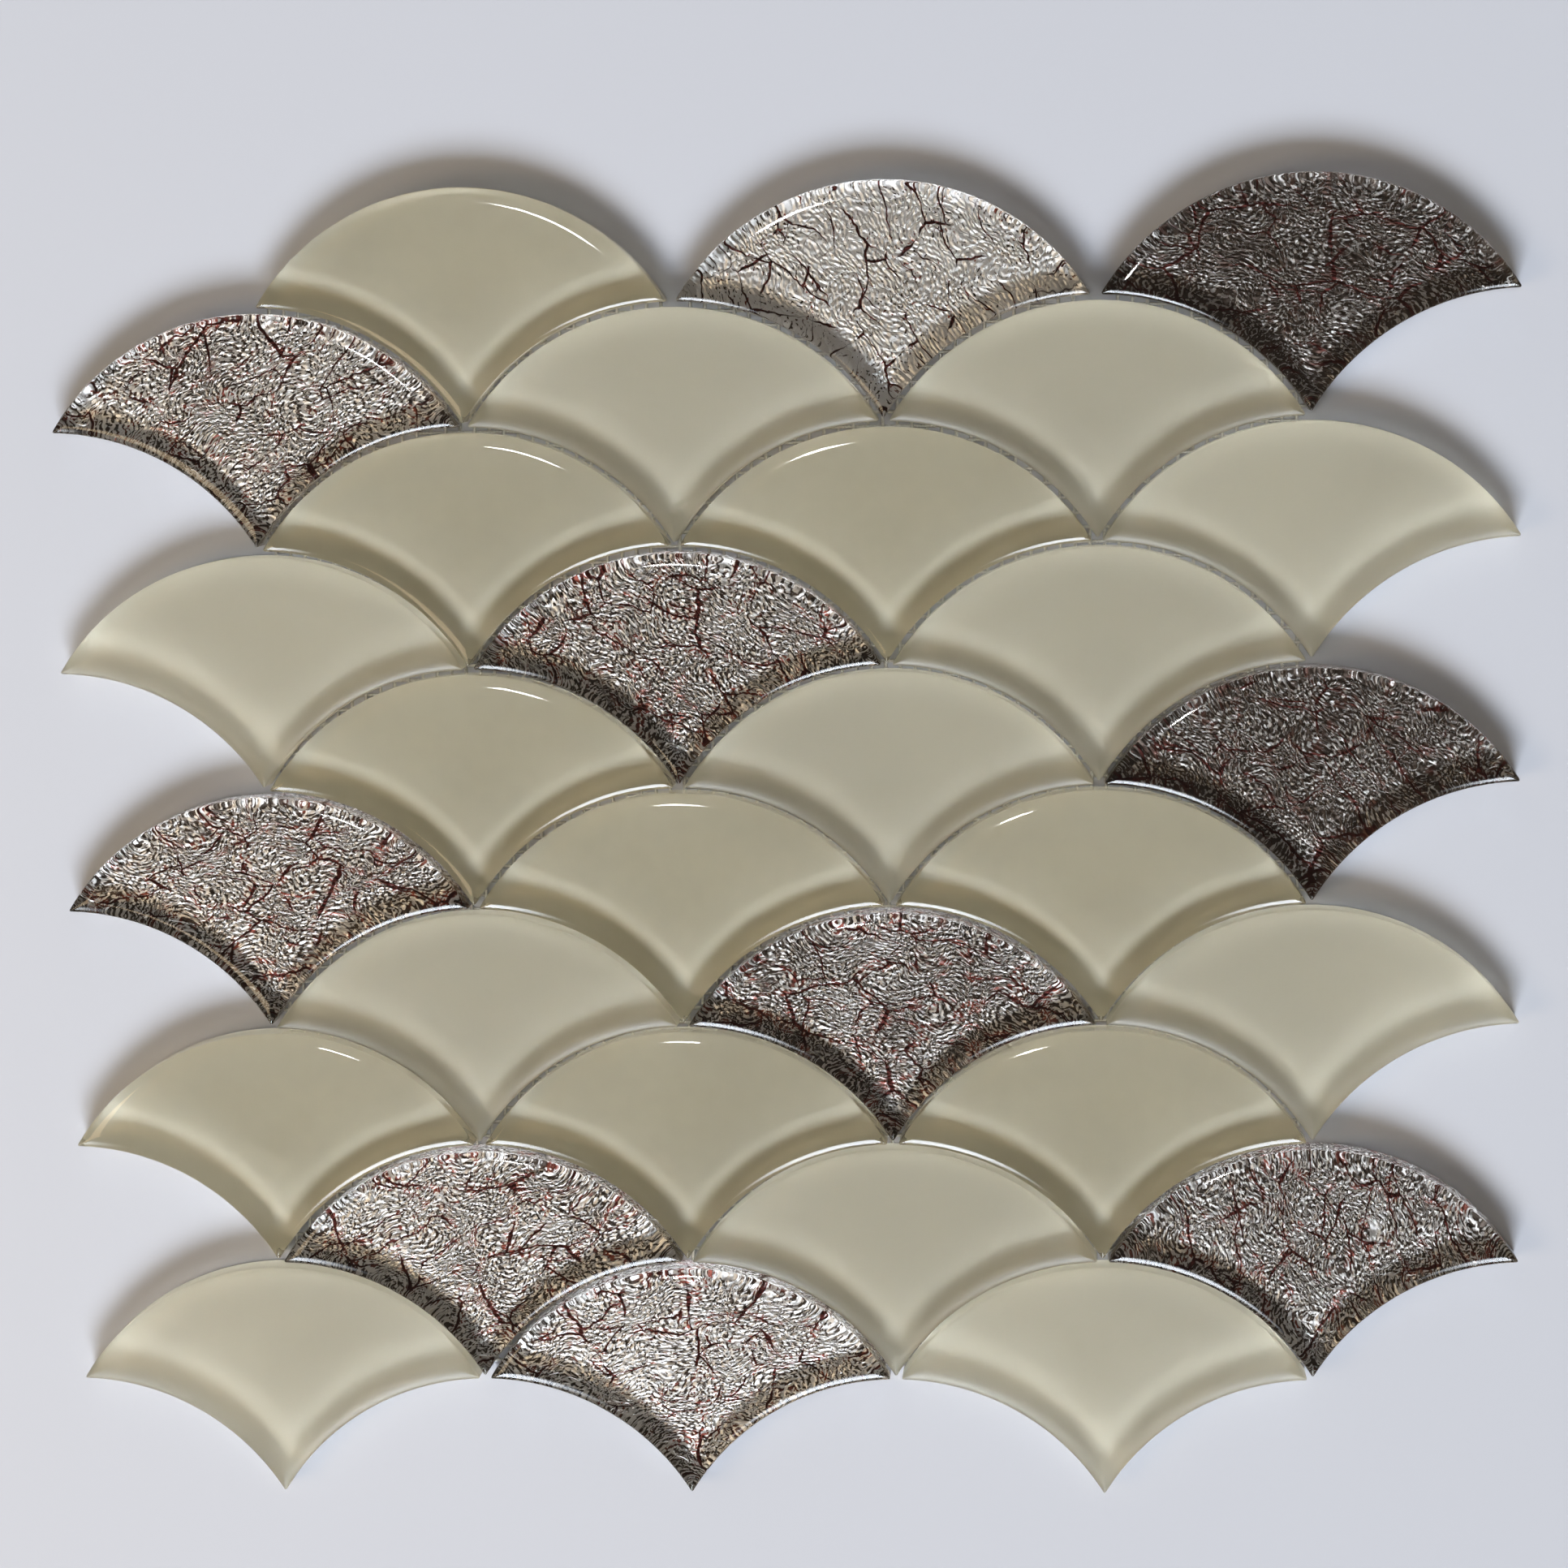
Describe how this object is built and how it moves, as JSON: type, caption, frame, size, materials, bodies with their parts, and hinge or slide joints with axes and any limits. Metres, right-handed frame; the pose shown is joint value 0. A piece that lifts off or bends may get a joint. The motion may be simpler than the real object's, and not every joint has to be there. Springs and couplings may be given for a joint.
{
  "type": "fish scale tile",
  "caption": "Net-mounted mosaic sheet of fan-shaped glass tiles in staggered fish scale rows, with gloss, frosted and crackled foil finishes, for facing walls.",
  "frame": {"origin": "middle of the sheet on the underside of its net", "axes": "+X along the rows, +Y towards the round tops of the tiles, +Z out of the glass face"},
  "size_m": [0.301, 0.2728, 0.0084],
  "materials": {
    "gloss_glass": "polished clear glass over a beige back coat",
    "frosted_glass": "satin etched glass over a beige back coat",
    "foil_glass": "polished clear glass over crinkled, cracked silver foil",
    "net": "woven glass-fibre net"
  },
  "bodies": {
    "root": {"backing_net": "net", "gloss_tile_r1c1": "gloss_glass", "foil_tile_r1c2": "foil_glass", "foil_tile_r1c3": "foil_glass", "foil_tile_r2c1": "foil_glass", "frosted_tile_r2c2": "frosted_glass", "frosted_tile_r2c3": "frosted_glass", "gloss_tile_r3c1": "gloss_glass", "gloss_tile_r3c2": "gloss_glass", "frosted_tile_r3c3": "frosted_glass", "frosted_tile_r4c1": "frosted_glass", "foil_tile_r4c2": "foil_glass", "frosted_tile_r4c3": "frosted_glass", "gloss_tile_r5c1": "gloss_glass", "frosted_tile_r5c2": "frosted_glass", "foil_tile_r5c3": "foil_glass", "foil_tile_r6c1": "foil_glass", "gloss_tile_r6c2": "gloss_glass", "gloss_tile_r6c3": "gloss_glass", "frosted_tile_r7c1": "frosted_glass", "foil_tile_r7c2": "foil_glass", "frosted_tile_r7c3": "frosted_glass", "gloss_tile_r8c1": "gloss_glass", "gloss_tile_r8c2": "gloss_glass", "gloss_tile_r8c3": "gloss_glass", "foil_tile_r9c1": "foil_glass", "frosted_tile_r9c2": "frosted_glass", "foil_tile_r9c3": "foil_glass", "frosted_tile_r10c1": "frosted_glass", "foil_tile_r10c2": "foil_glass", "frosted_tile_r10c3": "frosted_glass"}
  },
  "joints": []
}
